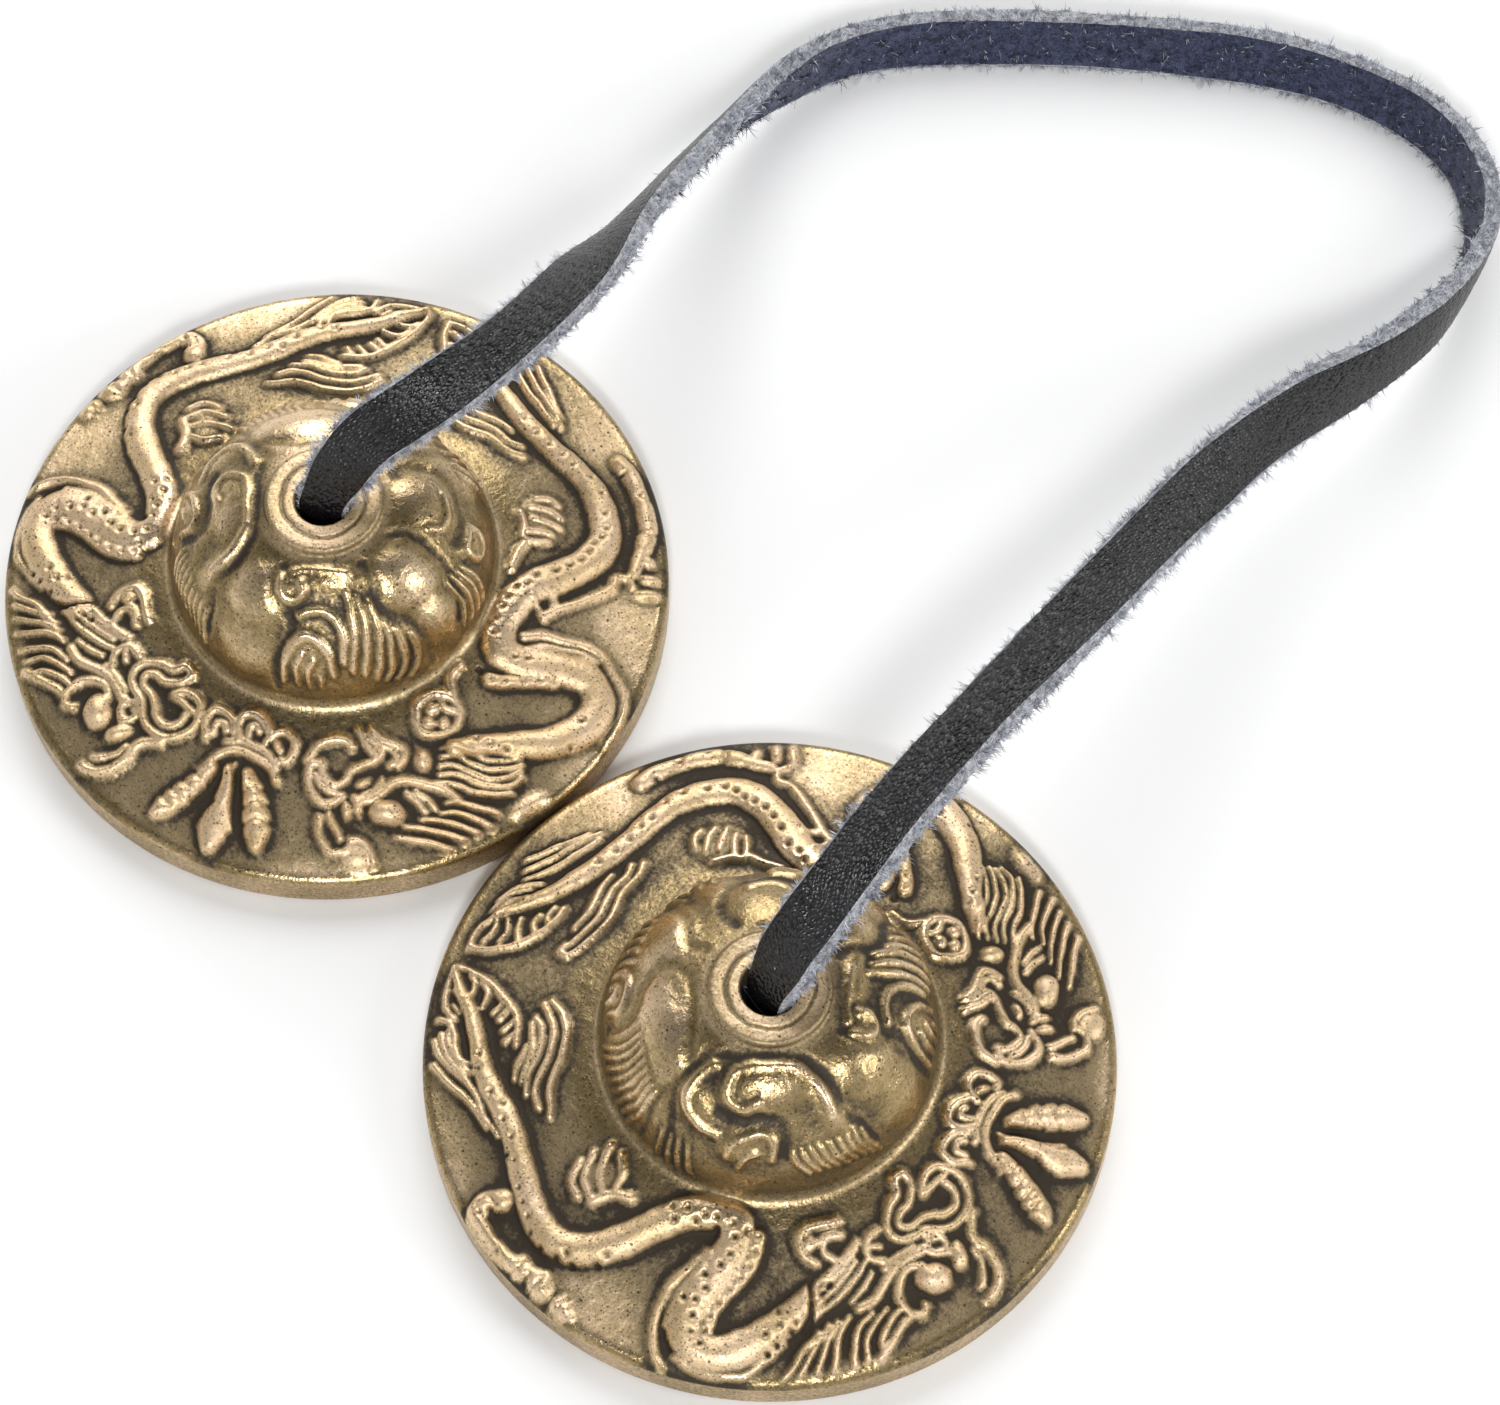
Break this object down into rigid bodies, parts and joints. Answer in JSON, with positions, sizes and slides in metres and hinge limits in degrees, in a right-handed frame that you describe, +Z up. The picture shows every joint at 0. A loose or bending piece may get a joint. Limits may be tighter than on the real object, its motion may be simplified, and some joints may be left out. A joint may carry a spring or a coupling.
{
  "type": "finger cymbals",
  "caption": "Two small cast-brass hand cymbals with relief decoration, joined through their domes by one black leather strap laid out in a loop.",
  "frame": {"origin": "on the ground plane, midway between the two cymbals, which lie flat with their domes up", "axes": "+X from the left cymbal to the right one, +Y towards the strap's loop, +Z up along the cymbals' axes"},
  "size_m": [0.1303, 0.1539, 0.0338],
  "materials": {
    "brass": "cast, aged and hand polished",
    "leather": "black grain side, blue-black suede side, pale fuzzy edges"
  },
  "bodies": {
    "left_cymbal": {"left_cymbal": "brass"},
    "left_end": {"left_strap_end": "leather", "left_knot": "leather"},
    "strap": {"leather_strap": "leather"},
    "right_end": {"right_strap_end": "leather", "right_knot": "leather"},
    "right_cymbal": {"right_cymbal": "brass"}
  },
  "joints": [
    {"name": "left_spin", "type": "hinge", "parent": "left_cymbal", "child": "left_end", "pos_m": [-0.03265, 0, 0.0175], "axis": [0, 0, 1], "continuous": true},
    {"name": "left_swing", "type": "hinge", "parent": "left_end", "child": "strap", "pos_m": [-0.03265, 0, 0.0245], "axis": [1, 0, 0], "range_deg": [0, 95]},
    {"name": "right_swing", "type": "hinge", "parent": "strap", "child": "right_end", "pos_m": [0.03265, 0, 0.0245], "axis": [-1, 0, 0], "range_deg": [0, 95]},
    {"name": "right_spin", "type": "hinge", "parent": "right_end", "child": "right_cymbal", "pos_m": [0.03265, 0, 0.0175], "axis": [0, 0, 1], "continuous": true}
  ]
}
